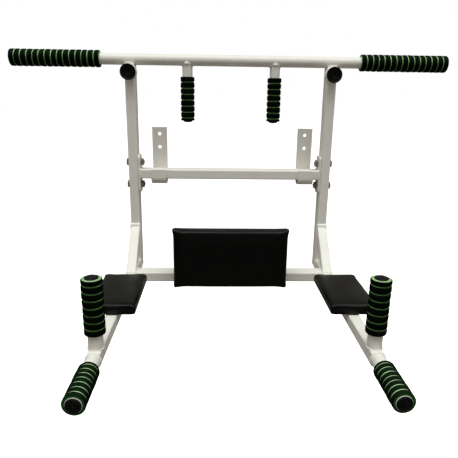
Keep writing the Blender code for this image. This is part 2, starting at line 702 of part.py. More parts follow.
def back_pad_bracket():
    """A plate stood on the lower cross tube, flush with its front, screwed to the pad's board."""
    centre_z = BRACKET_TOP_Z - BRACKET_HEIGHT / 2
    back_y = LOWER_TUBE_FRONT_Y + BRACKET_THICKNESS
    screw_z = BRACKET_TOP_Z - BRACKET_SCREW_DROP
    hole = PAD_SCREW_RADIUS + HOLE_CLEARANCE
    x, y = BRACKET_WIDTH / 2, BRACKET_HEIGHT / 2
    corner_x, corner_y = x - BRACKET_CORNER, y - BRACKET_CORNER
    outline = [
        (x, -y),
        *arc((corner_x, corner_y), BRACKET_CORNER, 0, 90, CORNER_STEPS),
        *arc((-corner_x, corner_y), BRACKET_CORNER, 90, 180, CORNER_STEPS),
        (-x, -y),
    ]
    loops = [outline]
    for side, word in SIDES:
        screw_x = side * BRACKET_SCREW_SPACING / 2
        loops.append(circle(hole, HOLE_STEPS, (screw_x, screw_z - centre_z)))
        place = (screw_x, back_y + GAP, screw_z)
        length = BRACKET_THICKNESS + 2 * GAP + PAD_SCREW_BITE
        size = (PAD_SCREW_ACROSS, PAD_SCREW_HEAD, PAD_SCREW_RADIUS, length)
        hex_bolt(f"back_pad_screw_{word}", *size, FRAME, place, ALONG_MINUS_Y)
    mesh = extruded("back_pad_bracket", loops, BRACKET_THICKNESS)
    place = (0, back_y - BRACKET_THICKNESS / 2, centre_z)
    add_piece("back_pad_bracket", mesh, "powder_coat", FRAME, place, ALONG_MINUS_Y)


def elbow_pad(side, word):
    """A pad across the arm, screwed on from under the arm."""
    board = (ELBOW_PAD_WIDTH - 2 * BOARD_INSET, ELBOW_PAD_LENGTH - 2 * BOARD_INSET)
    base_z = ARM_TOP_Z + GAP
    x = side * UPRIGHT_X
    hole = PAD_SCREW_RADIUS + HOLE_CLEARANCE
    loops = [rounded_rectangle(*board, BOARD_CORNER)]
    for end, (screw_x, screw_y) in elbow_screw_places(side):
        loops.append(circle(hole, HOLE_STEPS, (0, screw_y - ELBOW_PAD_Y)))
        place = (screw_x, screw_y, ARM_BOTTOM_Z - GAP)
        length = ARM_TUBE + 2 * GAP + PAD_SCREW_BITE
        size = (PAD_SCREW_ACROSS, PAD_SCREW_HEAD, PAD_SCREW_RADIUS, length)
        hex_bolt(f"elbow_pad_screw_{word}_{end}", *size, FRAME, place, UPRIGHT)
    mesh = extruded(f"elbow_pad_board_{word}", loops, BOARD_THICKNESS)
    place = (x, ELBOW_PAD_Y, base_z + BOARD_THICKNESS / 2)
    add_piece(f"elbow_pad_board_{word}", mesh, "plywood", FRAME, place)
    place = (x, ELBOW_PAD_Y, base_z + COVER_FOLD)
    size = (ELBOW_PAD_WIDTH, ELBOW_PAD_LENGTH, ELBOW_PAD_THICKNESS)
    cushion(f"elbow_pad_cushion_{word}", *size, ELBOW_PAD_CELLS, board, place, UPRIGHT)


clear_scene()
PARTS = new_collection("wall_pull_up_bar")
CUTTERS = new_collection("cutters")
WALL = new_empty("wall", (0, 0, 0))
FRAME = new_empty("frame", (0, FRAME_Y, HOOK_TUBE_Z))

bar_cope = bar_saddle()
brace_trims = brace_cutters()
pull_up_bar()
hook_tube()
lower_cross_tube()
back_pad()
back_pad_bracket()
for side_sign, side_word in SIDES:
    wall_hook(side_sign, side_word)
    upright(side_sign, side_word, bar_cope)
    side_plate(side_sign, side_word)
    plate_fasteners(side_sign, side_word)
    neutral_handle(side_sign, side_word, bar_cope)
    front_stub(side_sign, side_word)
    brace(side_sign, side_word, brace_trims)
    arm(side_sign, side_word)
    post(side_sign, side_word)
    dip_handle(side_sign, side_word)
    elbow_pad(side_sign, side_word)
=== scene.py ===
# Wall-mounted pull-up and dip station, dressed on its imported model, in metres

import math

import bmesh
import bpy
from mathutils import Matrix, Vector


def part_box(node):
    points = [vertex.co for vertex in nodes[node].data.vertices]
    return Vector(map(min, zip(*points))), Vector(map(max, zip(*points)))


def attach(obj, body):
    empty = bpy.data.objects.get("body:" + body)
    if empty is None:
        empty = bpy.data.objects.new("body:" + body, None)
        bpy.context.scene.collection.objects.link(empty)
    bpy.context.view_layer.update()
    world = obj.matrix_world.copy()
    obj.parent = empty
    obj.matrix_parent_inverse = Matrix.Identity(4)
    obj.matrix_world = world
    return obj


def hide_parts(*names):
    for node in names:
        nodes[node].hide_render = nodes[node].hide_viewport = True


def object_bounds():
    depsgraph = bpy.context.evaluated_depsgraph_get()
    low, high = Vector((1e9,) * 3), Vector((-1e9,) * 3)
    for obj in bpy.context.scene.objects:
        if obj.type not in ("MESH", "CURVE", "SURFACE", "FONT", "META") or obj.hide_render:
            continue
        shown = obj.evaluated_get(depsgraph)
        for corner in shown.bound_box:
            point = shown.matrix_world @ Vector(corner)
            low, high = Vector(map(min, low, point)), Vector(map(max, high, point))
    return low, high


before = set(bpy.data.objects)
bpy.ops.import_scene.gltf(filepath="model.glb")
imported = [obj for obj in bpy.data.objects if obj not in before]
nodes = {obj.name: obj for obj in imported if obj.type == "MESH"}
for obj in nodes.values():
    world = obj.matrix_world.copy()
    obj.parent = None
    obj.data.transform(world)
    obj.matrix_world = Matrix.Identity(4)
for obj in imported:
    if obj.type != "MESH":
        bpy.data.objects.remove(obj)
cad_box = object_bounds()
scene = bpy.context.scene
SIDES = ((-1, "left"), (1, "right"))


# Camera
# A phone held a little above the hooks and left of the middle, 1.3 m from the wall,
# tipped down, turned a touch to the right and not quite level.
camera_place = Vector((-0.0442, -1.3218, 0.1276))
camera_down, camera_right, camera_roll = (math.radians(angle) for angle in (15.98, 1.96, 0.84))
camera_lens = 37.45
camera_sensor = 36


def linked(name, data):
    """An object made of new data, put in the scene."""
    made = bpy.data.objects.new(name, data)
    scene.collection.objects.link(made)
    return made


ahead = Vector((
    math.sin(camera_right) * math.cos(camera_down),
    math.cos(camera_right) * math.cos(camera_down),
    -math.sin(camera_down),
))
level = Vector((math.cos(camera_right), -math.sin(camera_right), 0))
across = math.cos(camera_roll) * level + math.sin(camera_roll) * level.cross(ahead)
aim = Matrix((across, across.cross(ahead), -ahead)).transposed()
camera_data = bpy.data.cameras.new("camera")
camera_data.lens = camera_lens
camera_data.sensor_width = camera_sensor
camera = linked("camera", camera_data)
camera.matrix_world = Matrix.Translation(camera_place) @ aim.to_4x4()
bpy.context.scene.camera = camera


# Studio
# A white room with a wide soft light overhead and a pale floor well under the station.
# Light falls mostly from above, so tops are near white, fronts grey and undersides dark.
ceiling_energy = 550
ceiling_width = 11.0
ceiling_depth = 3.4
ceiling_place = (0, -2.05, 6.0)
ceiling_colour = (0.97, 1.0, 0.98)
room_warmth = (1.0, 0.93, 0.83)
room_tones = (  # the room's brightness from straight below, at 0, to straight above, at 1
    (0.0, 0.22), (0.46, 0.17), (0.54, 0.27), (1.0, 0.30),
)
floor_drop = 0.9  # the floor under the frame's lowest point
floor_reach = 30
floor_paint = (0.9, 0.9, 0.9, 1)
pure_white = (1, 1, 1, 1)


def feed(tree, target, **inputs):
    """Gives a node's inputs values or links. An input is named, or numbered as i0, i1 and so on."""
    for name, value in inputs.items():
        numbered = name[1:].isdigit()
        socket = target.inputs[int(name[1:]) if numbered else name.replace("_", " ")]
        if isinstance(value, bpy.types.NodeSocket):
            tree.links.new(value, socket)
        else:
            socket.default_value = value


def add_node(tree, kind, settings=(), **inputs):
    """A shader node, with its settings and with values or links for its inputs."""
    made = tree.nodes.new(kind)
    for name, value in settings:
        setattr(made, name, value)
    feed(tree, made, **inputs)
    return made


def new_material(name):
    made = bpy.data.materials.new(name)
    made.use_nodes = True
    return made, made.node_tree, made.node_tree.nodes["Principled BSDF"]


def as_mesh(shape, name):
    """A mesh of a shape that is done with."""
    mesh = bpy.data.meshes.new(name)
    shape.to_mesh(mesh)
    shape.free()
    return mesh


scene.view_settings.view_transform = "Standard"
world = bpy.data.worlds.new("studio")
world.use_nodes = True
scene.world = world
tree = world.node_tree
tree.nodes.clear()
direction = tree.nodes.new("ShaderNodeTexCoord").outputs["Generated"]
split = add_node(tree, "ShaderNodeSeparateXYZ", Vector=direction)
height = add_node(tree, "ShaderNodeMapRange", From_Min=-1, Value=split.outputs["Z"])
tones = add_node(tree, "ShaderNodeValToRGB", Fac=height.outputs["Result"])
stops = tones.color_ramp.elements
while len(stops) < len(room_tones):
    stops.new(0.5)
for stop, (position, tone) in zip(stops, room_tones):
    stop.position = position
    stop.color = (*(tone * share for share in room_warmth), 1)
lit = add_node(tree, "ShaderNodeBackground", Color=tones.outputs["Color"])
blank = add_node(tree, "ShaderNodeBackground", Color=pure_white)
seen = tree.nodes.new("ShaderNodeLightPath").outputs["Is Camera Ray"]
mix = add_node(tree, "ShaderNodeMixShader", Fac=seen, i1=lit.outputs[0], i2=blank.outputs[0])
add_node(tree, "ShaderNodeOutputWorld", Surface=mix.outputs[0])

ceiling_data = bpy.data.lights.new("ceiling", "AREA")
ceiling_data.energy = ceiling_energy
ceiling_data.shape = "RECTANGLE"
ceiling_data.size = ceiling_width
ceiling_data.size_y = ceiling_depth
ceiling_data.color = ceiling_colour
linked("ceiling", ceiling_data).location = ceiling_place

shape = bmesh.new()
bmesh.ops.create_grid(shape, x_segments=1, y_segments=1, size=floor_reach)
bmesh.ops.translate(shape, verts=shape.verts, vec=(0, 0, cad_box[0][2] - floor_drop))
floor = linked("floor", as_mesh(shape, "floor"))
paint, tree, shader = new_material("floor_white")
feed(tree, shader, Base_Color=floor_paint, Emission_Color=pure_white, Emission_Strength=1.0)
floor.data.materials.append(paint)
floor.visible_diffuse = False
floor.visible_glossy = False


# Wall hooks
# Two flat steel strips, bent up at the foot into a J that the frame hangs in, each with two
# round screw holes. They are powder-coated cream, with the skin's fine orange peel.
coat_colour = (0.83, 0.82, 0.765, 1)
coat_shade = (0.70, 0.685, 0.62, 1)
coat_shade_share = 0.22
coat_rub = (0.50, 0.48, 0.43, 1)
coat_dust = (0.62, 0.60, 0.55, 1)
coat_roughness = 0.38
coat_cloudiness = 0.08  # how much rougher the cloudy patches are
coat_peel = 0.00012


def maths(tree, operation, *values):
    numbered = {f"i{number}": value for number, value in enumerate(values)}
    return add_node(tree, "ShaderNodeMath", (("operation", operation),), **numbered).outputs[0]


def ramp(tree, value, low, high):
    """0 under the low value, 1 over the high one."""
    made = add_node(tree, "ShaderNodeMapRange", Value=value, From_Min=low, From_Max=high)
    return made.outputs["Result"]


def blend_colour(tree, factor, first, second):
    made = add_node(tree, "ShaderNodeMix", (("data_type", "RGBA"),), Factor=factor, i6=first, i7=second)
    return made.outputs[2]


def own_place(tree):
    """Where a point is in its piece's own coordinates."""
    return tree.nodes.new("ShaderNodeTexCoord").outputs["Object"]


def facing(tree):
    """Which way a point looks, split into its three parts."""
    normal = tree.nodes.new("ShaderNodeNewGeometry").outputs["Normal"]
    return add_node(tree, "ShaderNodeSeparateXYZ", Vector=normal).outputs


def noise(tree, place, scale, detail, **more):
    made = add_node(tree, "ShaderNodeTexNoise", Vector=place, Scale=scale, Detail=detail, **more)
    return made.outputs[0]


def new_group(name, inputs, outputs):
    """A shader group with its named number sockets."""
    tree = bpy.data.node_groups.new(name, "ShaderNodeTree")
    for label, value in inputs.items():
        socket = tree.interface.new_socket(name=label, in_out="INPUT", socket_type="NodeSocketFloat")
        socket.default_value = value
    for label in outputs:
        tree.interface.new_socket(name=label, in_out="OUTPUT", socket_type="NodeSocketFloat")
    return tree, tree.nodes.new("NodeGroupInput").outputs, tree.nodes.new("NodeGroupOutput")


def use_group(tree, group, **inputs):
    made = tree.nodes.new("ShaderNodeGroup")
    made.node_tree = group
    feed(tree, made, **inputs)
    return made.outputs


# Skin: the pebbled face of a sprayed or moulded surface, and its cloudy change of tone
skin, given, result = new_group("surface_skin", {"Pebbles": 900, "Clouds": 14}, ["Height", "Tone"])
place = own_place(skin)
clouds = noise(skin, place, given["Clouds"], 5.0)
feed(skin, result, Height=noise(skin, place, given["Pebbles"], 2.0), Tone=ramp(skin, clouds, 0.35, 0.68))

# Dust: lies on faces that look up, in patches
dust, given, result = new_group("settled_dust", {"Amount": 0.2, "Patches": 25}, ["Dust"])
upward = ramp(dust, facing(dust)["Z"], 0.3, 1.0)
patches = ramp(dust, noise(dust, own_place(dust), given["Patches"], 8.0), 0.3, 0.75)
lying = maths(dust, "MULTIPLY", upward, patches)
feed(dust, result, Dust=maths(dust, "MULTIPLY", lying, given["Amount"]))

# Scuffs: short fine rubs where hands and tools have been
scuffs, given, result = new_group("handling_scuffs", {"Amount": 0.3, "Fineness": 260}, ["Scuff"])
place = own_place(scuffs)
lean = add_node(scuffs, "ShaderNodeMapping", Vector=place, Rotation=(0.5, 0.3, 0.8), Scale=(1.0, 0.12, 1.0))
strokes = ramp(scuffs, noise(scuffs, lean.outputs[0], given["Fineness"], 3.0), 0.62, 0.72)
handled = ramp(scuffs, noise(scuffs, place, 11.0, 2.0), 0.5, 0.66)
marks = maths(scuffs, "MULTIPLY", strokes, handled)
feed(scuffs, result, Scuff=maths(scuffs, "MULTIPLY", marks, given["Amount"]))


def scuffed(tree, tone, amount, fineness, colour):
    """A tone with rubs of another colour over it."""
    rubs = use_group(tree, scuffs, Amount=amount, Fineness=fineness)
    return blend_colour(tree, rubs["Scuff"], tone, colour)


def dusted(tree, tone, amount, patches, colour):
    """A tone with settled dust over it."""
    specks = use_group(tree, dust, Amount=amount, Patches=patches)
    return blend_colour(tree, specks["Dust"], tone, colour)


def bump(tree, shader, height, distance, strength):
    made = add_node(tree, "ShaderNodeBump", Height=height, Distance=distance, Strength=strength)
    feed(tree, shader, Normal=made.outputs["Normal"])


powder_coat, tree, shader = new_material("cream_powder_coat")
face = use_group(tree, skin, Pebbles=700.0, Clouds=9.0)
shade = maths(tree, "MULTIPLY", face["Tone"], coat_shade_share)
tone = scuffed(tree, blend_colour(tree, shade, coat_colour, coat_shade), 0.25, 300.0, coat_rub)
tone = dusted(tree, tone, 0.10, 40.0, coat_dust)
gloss = maths(tree, "MULTIPLY_ADD", face["Tone"], coat_cloudiness, coat_roughness)
feed(tree, shader, Base_Color=tone, Roughness=gloss)
bump(tree, shader, face["Height"], coat_peel, 0.5)


def dress(material, *names):
    """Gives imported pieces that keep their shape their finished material."""
    for name in names:
        for slot in nodes[name].material_slots:
            slot.material = material


dress(powder_coat, "wall_hook_left", "wall_hook_right")


# Upper cross tube and its end plates
# Rectangular steel tube, 25 x 40 mm, that hangs in the hooks, with a flat plate welded
# on each end. The weld beads show as pale ripples under the coat.
tube_bead = 0.0022  # the radius of its weld bead
weld_step = 0.0008  # between the points that a bead is drawn through
ripple_share, ripple_pitch = 0.14, 0.0024
waver_share, waver_rate, waver_shift = 0.10, 210, 40
corner_cut = 0.0015  # where a bead turns a tube's corner
crease = math.radians(38)


def finished(name, mesh, material, replaced=()):
    """Puts a new piece on the frame, with its material."""
    mesh.materials.clear()
    mesh.materials.append(material)
    mesh.shade_smooth()
    mesh.set_sharp_from_angle(angle=crease)
    piece = linked(name, mesh)
    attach(piece, "frame")
    if replaced:
        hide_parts(*replaced)
    return piece


def coated(name, mesh, *replaced):
    return finished(name, mesh, powder_coat, replaced)


def evaluated_mesh(drawn):
    """The mesh that a curve, or an object's modifiers, come to."""
    graph = bpy.context.evaluated_depsgraph_get()
    return bpy.data.meshes.new_from_object(drawn.evaluated_get(graph))


def traced(corners, closed):
    """A path's corners, filled in with points a weld step apart."""
    points = []
    ends = corners[1:] + corners[:1] if closed else corners[1:]
    for start, end in zip(corners, ends):
        start, end = Vector(start), Vector(end)
        count = max(1, round((end - start).length / weld_step))
        points += [start.lerp(end, step / count) for step in range(count)]
    return points


def weld(name, corners, radius, closed=True):
    """A rippled bead drawn along a joint and coated with the frame."""
    points = traced(corners, closed)
    curve = bpy.data.curves.new(name, "CURVE")
    curve.dimensions = "3D"
    curve.bevel_depth = radius
    curve.bevel_resolution = 2
    curve.use_fill_caps = True
    spline = curve.splines.new("POLY")
    spline.points.add(len(points) - 1)
    for count, (point, place) in enumerate(zip(spline.points, points)):
        run = count * weld_step
        ripple = ripple_share * math.sin(2 * math.pi * run / ripple_pitch)
        waver = waver_share * math.sin(waver_rate * run + waver_shift * place.x)
        point.co = (*place, 1)
        point.radius = 1 + ripple + waver
    spline.use_cyclic_u = closed
    drawn = linked(name, curve)
    bead = evaluated_mesh(drawn)
    bpy.data.objects.remove(drawn)
    coated(name, bead)


def oblong(low, high, axis, at):
    """The cut corners of a rectangle round a tube's end, on the plane that crosses an axis."""
    flat = [other for other in range(3) if other != axis]
    (u0, v0), (u1, v1) = [(corner[flat[0]], corner[flat[1]]) for corner in (low, high)]
    outline = (
        (u0 + corner_cut, v0), (u1 - corner_cut, v0), (u1, v0 + corner_cut), (u1, v1 - corner_cut),
        (u1 - corner_cut, v1), (u0 + corner_cut, v1), (u0, v1 - corner_cut), (u0, v0 + corner_cut),
    )
    corners = []
    for u, v in outline:
        corner = [0.0, 0.0, 0.0]
        corner[axis], corner[flat[0]], corner[flat[1]] = at, u, v
        corners.append(corner)
    return corners


dress(powder_coat, "hook_tube", "side_plate_left", "side_plate_right")
low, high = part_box("hook_tube")
for word, end in (("left", low.x), ("right", high.x)):
    weld(f"hook_tube_weld_{word}", oblong(low, high, 0, end), tube_bead)


# Plate bolts, nuts and pad screws
# M10 bolts from outside each upright, with their nuts on the plate, and the M6 screws of the
# pads. They are blackened steel with rolled threads and chamfered hexagons.
bolt_flats, bolt_head, bolt_radius, bolt_thread = 0.017, 0.0065, 0.005, 0.016
screw_flats, screw_head, screw_radius = 0.010, 0.004, 0.003
back_pad_thread = 0.008
elbow_pad_thread = 0.010
hex_side_cuts = 5
round_face_share = 0.97  # of the flats, left flat on a chamfered face
chamfer_slope = math.tan(math.radians(28))
thread_depth = 0.0006
thread_pitch = 0.0015
screw_sides = 36
same_level = 0.00001  # heights this close are one level
merge_gap = 0.000005
steel_dark = (0.19, 0.186, 0.170, 1)
steel_pale = (0.38, 0.37, 0.34, 1)
steel_rub = (0.30, 0.29, 0.27, 1)

blackened, tree, shader = new_material("blackened_steel")
face = use_group(tree, skin, Pebbles=1500.0, Clouds=220.0)
rubs = use_group(tree, scuffs, Amount=0.8, Fineness=900.0)
tone = blend_colour(tree, face["Tone"], steel_dark, steel_pale)
tone = blend_colour(tree, rubs["Scuff"], tone, steel_rub)
bare_metal = maths(tree, "MULTIPLY_ADD", rubs["Scuff"], 0.3, 0.6)
feed(tree, shader, Base_Color=tone, Metallic=bare_metal, Roughness=0.42)
bump(tree, shader, face["Height"], 0.0001, 0.4)


def only(kind, geometry):
    """The vertices, edges or faces out of what an operator gives back."""
    return [item for item in geometry if isinstance(item, kind)]


def hexagon(shape, flats, thick, both_ends=False, bore=0.0):
    """A hexagon with turned chamfers, standing on Z = 0, open in the middle where it has a bore."""
    bmesh.ops.create_circle(shape, segments=6, radius=flats / math.sqrt(3))
    bmesh.ops.subdivide_edges(shape, edges=shape.edges[:], cuts=hex_side_cuts)
    rise = bmesh.ops.extrude_edge_only(shape, edges=shape.edges[:])["geom"]
    bmesh.ops.translate(shape, verts=only(bmesh.types.BMVert, rise), vec=(0, 0, thick))
    round_face = flats / 2 * round_face_share
    for level, down in ((thick, -1), (0.0, 1)):
        chamfered = both_ends or level
        ring = [vert for vert in shape.verts if abs(vert.co.z - level) < same_level]
        edges = [edge for edge in shape.edges if all(vert in ring for vert in edge.verts)]
        widths = [round_face] if chamfered else []
        if bore:
            widths.append(bore + thread_depth)
        for width in widths:
            inner = bmesh.ops.extrude_edge_only(shape, edges=edges)["geom"]
            edges = only(bmesh.types.BMEdge, inner)
            for vert in only(bmesh.types.BMVert, inner):
                flat = vert.co.xy.normalized() * width
                vert.co = (flat.x, flat.y, level)
        if chamfered:
            for vert in ring:
                vert.co.z = level + down * (vert.co.xy.length - round_face) * chamfer_slope
    open_edges = [edge for edge in shape.edges if edge.is_boundary]
    if bore:
        bmesh.ops.bridge_loops(shape, edges=open_edges)
    else:
        bmesh.ops.holes_fill(shape, edges=open_edges, sides=0)
    bmesh.ops.recalc_face_normals(shape, faces=shape.faces)


def lathe(shape, profile, steps):
    """Spins points of (radius, height) round Z and closes the seam and the poles."""
    verts = [shape.verts.new((radius, 0, height)) for radius, height in profile]
    edges = [shape.edges.new(pair) for pair in zip(verts, verts[1:])]
    bmesh.ops.spin(
        shape, geom=verts + edges, cent=(0, 0, 0), axis=(0, 0, 1), dvec=(0, 0, 0),
        angle=2 * math.pi, steps=steps, use_merge=True,
    )
    bmesh.ops.remove_doubles(shape, verts=shape.verts, dist=merge_gap)
    bmesh.ops.recalc_face_normals(shape, faces=shape.faces)


def placed(shape, name, place, along):
    """A mesh whose own Z is laid along a direction from its place."""
    lay = Vector(along).to_track_quat("Z", "Y").to_matrix().to_4x4()
    bmesh.ops.transform(shape, matrix=Matrix.Translation(place) @ lay, verts=shape.verts)
    return as_mesh(shape, name)


def span(name, along):
    """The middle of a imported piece's near end, seen along a direction, and its length that way."""
    low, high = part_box(name)
    way = Vector(along)
    length = abs((high - low).dot(way))
    return (low + high) / 2 - way * length / 2, length


def shank_profile(radius, start, end, threaded):
    """A shank from its start to its chamfered end, with ridges along its threaded length."""
    points = [(0, start), (radius, start)]
    level = end - threaded
    while level + thread_pitch < end - thread_depth:
        points += [(radius, level), (radius - thread_depth, level + thread_pitch / 2)]
        level += thread_pitch
    return points + [(radius, level), (radius - 2 * thread_depth, end), (0, end)]


def steel_piece(shape, name, place, along):
    finished(name + "_made", placed(shape, name, place, along), blackened, [name])


def hex_screw(name, along, flats, head, radius, threaded):
    """A bolt whose head bears on the piece that the shank, laid along a direction, goes through."""
    foot, length = span(name, along)
    shape = bmesh.new()
    hexagon(shape, flats, head)
    bmesh.ops.scale(shape, verts=shape.verts, vec=(1, 1, -1))
    bmesh.ops.translate(shape, verts=shape.verts, vec=(0, 0, head))
    bmesh.ops.recalc_face_normals(shape, faces=shape.faces)
    stem = bmesh.new()
    lathe(stem, shank_profile(radius, head / 2, length, threaded), screw_sides)
    shank = as_mesh(stem, "shank")
    shape.from_mesh(shank)
    bpy.data.meshes.remove(shank)
    steel_piece(shape, name, foot, along)


for side, word in SIDES:
    inward = (-side, 0, 0)
    for row in ("upper", "lower"):
        hex_screw(f"plate_bolt_{word}_{row}", inward, bolt_flats, bolt_head, bolt_radius, bolt_thread)
        foot, thick = span(f"plate_nut_{word}_{row}", inward)
        shape = bmesh.new()
        hexagon(shape, bolt_flats, thick, True, bolt_radius)
        steel_piece(shape, f"plate_nut_{word}_{row}", foot, inward)
    screw = (screw_flats, screw_head, screw_radius)
    hex_screw(f"back_pad_screw_{word}", (0, -1, 0), *screw, back_pad_thread)
    for end in ("front", "back"):
        hex_screw(f"elbow_pad_screw_{word}_{end}", (0, 0, 1), *screw, elbow_pad_thread)


# Uprights
# Rectangular tube, 25 x 40 mm, saddled to the bar at the top. Weld fills the saddle's front
# and back pockets and runs down its sides.
bar_radius = 0.014
saddle_bead = 0.0018
saddle_steps = 8
fill_bead = 0.0042
fill_inset = 0.0045  # from the upright's face and from its top
fill_short = 0.004  # of the upright's sides


def swing(reach, steps):
    """Angles from one side to the other, the reach each way."""
    return [reach * (1 - 2 * step / steps) for step in range(steps + 1)]


dress(powder_coat, "upright_left", "upright_right")
bar_low, bar_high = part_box("pull_up_bar")
bar_y, bar_z = (bar_low.y + bar_high.y) / 2, (bar_low.z + bar_high.z) / 2
for side, word in SIDES:
    low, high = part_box(f"upright_{word}")
    reach = math.sqrt(bar_radius ** 2 - (high.z - bar_z) ** 2)
    turns = swing(math.asin(reach / bar_radius), saddle_steps)
    under = [(bar_y - bar_radius * math.sin(t), bar_z - bar_radius * math.cos(t)) for t in turns]
    seam = [(low.x, y, z) for y, z in under] + [(high.x, y, z) for y, z in reversed(under)]
    weld(f"bar_weld_{word}", seam, saddle_bead)
    for end, y in (("front", low.y + fill_inset), ("back", high.y - fill_inset)):
        row = [(x, y, high.z - fill_inset) for x in (low.x + fill_short, high.x - fill_short)]
        weld(f"bar_fill_{word}_{end}", row, fill_bead, False)


# Pull-up bar
# One straight round tube, 28 mm across, laid in the uprights' saddles.
tube_wall = 0.002
round_sides = 64


def round_tube(name, node, along, radius, length=None):
    """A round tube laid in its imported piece's place, as long as the piece or as its own length."""
    place, whole = span(node, along)
    shape = bmesh.new()
    bmesh.ops.create_circle(shape, segments=round_sides, radius=radius)
    bmesh.ops.create_circle(shape, segments=round_sides, radius=radius - tube_wall)
    bmesh.ops.bridge_loops(shape, edges=shape.edges[:])
    drawn = bmesh.ops.extrude_face_region(shape, geom=shape.faces[:])["geom"]
    bmesh.ops.translate(shape, verts=only(bmesh.types.BMVert, drawn), vec=(0, 0, length or whole))
    bmesh.ops.recalc_face_normals(shape, faces=shape.faces)
    return placed(shape, name, place, along)


coated("bar", round_tube("bar", "pull_up_bar", (1, 0, 0), bar_radius), "pull_up_bar")


# Neutral handles
# Short 26 mm tubes that hang from the bar, coped to its round and welded all the way round.
handle_radius = 0.013
cope_gap = 0.0002
cope_bead = 0.0022
patch_bead = 0.0036  # the thicker run of weld on the joint's front
patch_half = 0.0045
patch_inset = 0.0005
patch_drop = 0.0090
ring_steps = 48
ring_turns = [2 * math.pi * step / ring_steps for step in range(ring_steps)]


def cope(y, radius):
    """The height at which a line, at its own Y, meets the underside of a round as wide as the bar."""
    return bar_z - math.sqrt(radius ** 2 - (y - bar_y) ** 2)


for side, word in SIDES:
    low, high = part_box(f"neutral_handle_{word}")
    middle = (low + high) / 2
    tube = round_tube(
        f"neutral_{word}", f"neutral_handle_{word}", (0, 0, 1), handle_radius, bar_z - low.z,
    )
    for vert in tube.vertices:
        if vert.co.z > middle.z:
            vert.co.z = cope(vert.co.y, bar_radius + cope_gap)
    coated(f"neutral_{word}", tube, f"neutral_handle_{word}")
    seam = []
    for t in ring_turns:
        y = bar_y + handle_radius * math.sin(t)
        seam.append((middle.x + handle_radius * math.cos(t), y, cope(y, bar_radius)))
    weld(f"neutral_weld_{word}", seam, cope_bead)
    front = bar_y - handle_radius + patch_inset
    row = [(middle.x + shift, front, bar_z - patch_drop) for shift in (-patch_half, patch_half)]
    weld(f"neutral_bead_{word}", row, patch_bead, False)


# Front stubs
# Short round cups, 40 mm across, welded on the uprights' fronts under the bar, each closed by a
# black plug with a raised rim.
stub_radius = 0.020
stub_wall = 0.002
stub_edge = 0.0006  # its rim's chamfers
stub_bead = 0.0014
upright_half = 0.0125
arc_steps = 10
stub_plug_radius = 0.0198
stub_plug_rise = 0.004
stub_plug_stem = ((0, -0.010), (0.0174, -0.010), (0.0174, 0))
stub_plug_rim = (  # in from its edge, and up
    (0, 0), (0, 0.0028), (0.0004, 0.0036), (0.0012, 0.004),
    (0.0026, 0.004), (0.0034, 0.0037), (0.0044, 0.0024), (0.0056, 0.0021),
)
stub_plug_dish = ((0.0060, 0.0021), (0.0056, 0.0018), (0, 0.0018))
plastic_deep = (0.0004, 0.0006, 0.0004, 1)
plastic_pale = (0.0014, 0.0018, 0.0014, 1)
plastic_cloud = (0.013, 0.015, 0.013, 1)  # left by the mould
plastic_dust = (0.12, 0.12, 0.11, 1)

black_plastic, tree, shader = new_material("black_plastic")
face = use_group(tree, skin, Pebbles=2600.0, Clouds=60.0)
tone = blend_colour(tree, face["Tone"], plastic_deep, plastic_pale)
mottling = ramp(tree, noise(tree, own_place(tree), 420.0, 1.0), 0.5, 0.66)
tone = blend_colour(tree, mottling, tone, plastic_cloud)
tone = dusted(tree, tone, 0.10, 300.0, plastic_dust)
feed(tree, shader, Base_Color=tone, Roughness=0.38, Specular_IOR_Level=0.08)
bump(tree, shader, face["Height"], 0.00006, 0.35)


def turned(name, profile, place, along):
    """A profile turned on a lathe and laid along a direction from its place."""
    shape = bmesh.new()
    lathe(shape, profile, round_sides)
    return placed(shape, name, place, along)


def plastic_piece(name, profile, place, along, replaced):
    mesh = turned(name, profile, place, along)
    finished(name, mesh, black_plastic, [replaced])


for side, word in SIDES:
    foot, length = span(f"front_stub_{word}", (0, -1, 0))
    inside = stub_radius - stub_wall
    cup = [
        (0, 0), (stub_radius, 0), (stub_radius, length - stub_edge), (stub_radius - stub_edge, length),
        (inside + stub_edge, length), (inside, length - stub_edge), (inside, stub_wall), (0, stub_wall),
    ]
    coated(f"stub_{word}", turned(f"stub_{word}", cup, foot, (0, -1, 0)), f"front_stub_{word}")
    seam = []
    for up in (stub_radius, -stub_radius):
        for t in swing(math.asin(upright_half / stub_radius), arc_steps):
            seam.append((foot.x + up * math.sin(t), foot.y, foot.z + up * math.cos(t)))
    weld(f"stub_weld_{word}", seam, stub_bead)
    rim = [(stub_plug_radius - inset, up) for inset, up in stub_plug_rim]
    plug = [*stub_plug_stem, *rim, *stub_plug_dish]
    low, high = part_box(f"front_stub_plug_{word}")
    rim_foot = ((low.x + high.x) / 2, low.y + stub_plug_rise, (low.z + high.z) / 2)
    plastic_piece(f"stub_plug_{word}", plug, rim_foot, (0, -1, 0), f"front_stub_plug_{word}")


# Lower cross tube, braces and arms
# The arms are 25 mm square tubes welded to the uprights' feet, tied by a rectangular tube that lies
# between them. A mitred brace runs from each upright's front down to its arm.
brace_width = 0.025
cross_bead = 0.0020
arm_bead = 0.0022
brace_top_bead = 0.0020
brace_foot_bead = 0.0022
fillet_section = (  # the wide weld over a brace's mitre: out from the upright, and up
    (0, -0.0060), (0, 0.0036), (0.0010, 0.0037), (0.0026, 0.0025),
    (0.0046, 0.0003), (0.0054, -0.0020), (0.0056, -0.0062),
)
fillet_steps = 16
fillet_sink = 0.0005  # into the upright
fillet_short = 0.0008  # of the brace's sides
fillet_waver, fillet_rates = 0.0002, (2.2, 1.7)

